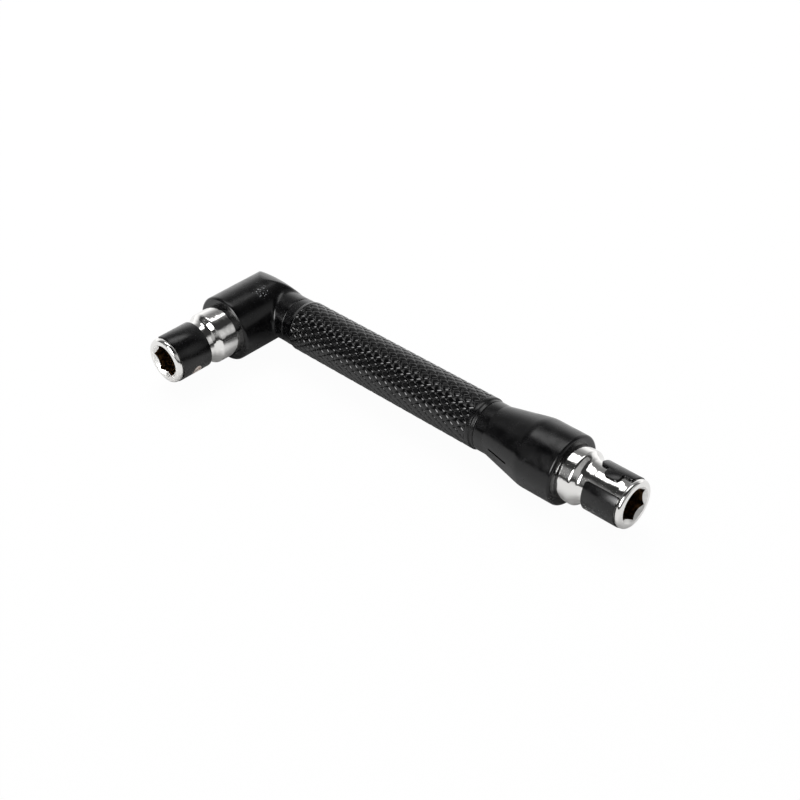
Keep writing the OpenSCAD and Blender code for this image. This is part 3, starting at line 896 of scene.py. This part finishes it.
# A pale floor out to 3 metres, most of which the camera sees as plain white, since the photo has no shadow
floorLook = {"reach": 3, "colour": "#f4f4f4", "lift": 0.968}
bm = bmesh.new()
bmesh.ops.create_grid(bm, x_segments=1, y_segments=1, size=floorLook["reach"])
floorMesh = bpy.data.meshes.new("floor")
bm.to_mesh(floorMesh)
bm.free()
floor = bpy.data.objects.new("floor", floorMesh)
scene.collection.objects.link(floor)
paleFloor = bpy.data.materials.new("paleStudioFloor")
paleFloor.use_nodes = True
tree = paleFloor.node_tree
tree.nodes.clear()
ray = addNode(tree, "LightPath", {}, {})
share = addNode(tree, "Math", {"operation": "MULTIPLY"}, {0: ray.outputs["Is Camera Ray"], 1: floorLook["lift"]})
matt = addNode(tree, "BsdfDiffuse", {}, {"Color": linear(floorLook["colour"])})
glow = addNode(tree, "Emission", {}, {"Color": (1, 1, 1, 1), "Strength": 1})
mixed = addNode(tree, "MixShader", {}, {0: share.outputs[0], 1: matt.outputs[0], 2: glow.outputs[0]})
addNode(tree, "OutputMaterial", {}, {"Surface": mixed.outputs[0]})
floorMesh.materials.append(paleFloor)

# The room: a white backdrop behind the tool and soft panels, which the gloss shows, in a darker studio. Each panel is
# given by the azimuth and elevation of its middle, by half of its spread in both, and by the width of its soft edges,
# in degrees. The backdrop's sides are cosines from its middle, and its fade is in sines of the elevation
room = {
    "backdropAzimuth": 130,
    "backdropSides": (0.2, 0.4),
    "backdropFade": (0.1, 0.75),
    "white": 1.3,
    "upper": 0.22,
    "dark": 0.04,
    "ambient": 0.59,
    "seen": 1.0,
}
panels = {
    "rearSoftbox": {"middle": (151, 67.5), "half": (54, 10), "edges": (7, 1.5), "strength": 2.6},
    "rightCard": {"middle": (33, 18), "half": (14, 19), "edges": (5, 6), "strength": 0.42},
    "leftCard": {"middle": (-126, 26), "half": (14, 15), "edges": (7, 8), "strength": 0.24},
    "frontLamp": {"middle": (-90, 31), "half": (14, 18), "edges": (5, 5), "strength": 12.0},
    "lowCard": {"middle": (-15, 29), "half": (45, 15), "edges": (8, 7), "strength": 0.42},
}
world = bpy.data.worlds.new("studio")
scene.world = world
world.use_nodes = True
world.cycles.sampling_method = "NONE"
tree = world.node_tree
tree.nodes.clear()
ray = addNode(tree, "LightPath", {}, {})
place = addNode(tree, "TexCoord", {}, {}).outputs["Generated"]
parts = addNode(tree, "SeparateXYZ", {}, {0: place})
facing = addNode(tree, "VectorMath", {"operation": "DOT_PRODUCT"}, {0: place, 1: towards(room["backdropAzimuth"], 0)})
wide = addNode(tree, "MapRange", {"interpolation_type": "SMOOTHSTEP"},
               {"Value": facing.outputs["Value"], "From Min": room["backdropSides"][0],
                "From Max": room["backdropSides"][1]})
tall = addNode(tree, "MapRange", {"interpolation_type": "SMOOTHSTEP"},
               {"Value": parts.outputs["Z"], "From Min": room["backdropFade"][0],
                "From Max": room["backdropFade"][1], "To Min": room["white"], "To Max": room["upper"]})
level = addNode(tree, "Mix", {"data_type": "FLOAT"},
                {0: wide.outputs[0], 2: room["dark"], 3: tall.outputs[0]}).outputs[0]
height = addNode(tree, "Math", {"operation": "ARCSINE"}, {0: parts.outputs["Z"]}).outputs[0]
for panel in panels.values():
    azimuth, elevation = panel["middle"]
    ahead = addNode(tree, "VectorMath", {"operation": "DOT_PRODUCT"}, {0: place, 1: towards(azimuth, 0)})
    aside = addNode(tree, "VectorMath", {"operation": "DOT_PRODUCT"}, {0: place, 1: towards(azimuth + 90, 0)})
    swung = addNode(tree, "Math", {"operation": "ARCTAN2"}, {0: aside.outputs["Value"], 1: ahead.outputs["Value"]})
    raised = addNode(tree, "Math", {"operation": "SUBTRACT"}, {0: height, 1: math.radians(elevation)})
    cover = panel["strength"]
    for off, half, edge in zip((swung, raised), panel["half"], panel["edges"]):
        reach = addNode(tree, "Math", {"operation": "ABSOLUTE"}, {0: off.outputs[0]})
        within = addNode(tree, "MapRange", {"interpolation_type": "SMOOTHSTEP"},
                         {"Value": reach.outputs[0], "From Min": math.radians(half - edge),
                          "From Max": math.radians(half + edge), "To Min": 1, "To Max": 0})
        cover = addNode(tree, "Math", {"operation": "MULTIPLY"}, {0: within.outputs["Result"], 1: cover}).outputs[0]
    level = addNode(tree, "Math", {"operation": "ADD"}, {0: cover, 1: level}).outputs[0]
# Diffuse light is even, and the camera itself sees plain white
dull = addNode(tree, "Mix", {"data_type": "FLOAT"}, {0: ray.outputs["Is Diffuse Ray"], 2: level, 3: room["ambient"]})
bright = addNode(tree, "Mix", {"data_type": "FLOAT"},
                 {0: ray.outputs["Is Camera Ray"], 2: dull.outputs[0], 3: room["seen"]})
light = addNode(tree, "Background", {}, {"Color": (1, 1, 1, 1), "Strength": bright.outputs[0]})
addNode(tree, "OutputWorld", {}, {"Surface": light.outputs[0]})
print("studio lit")
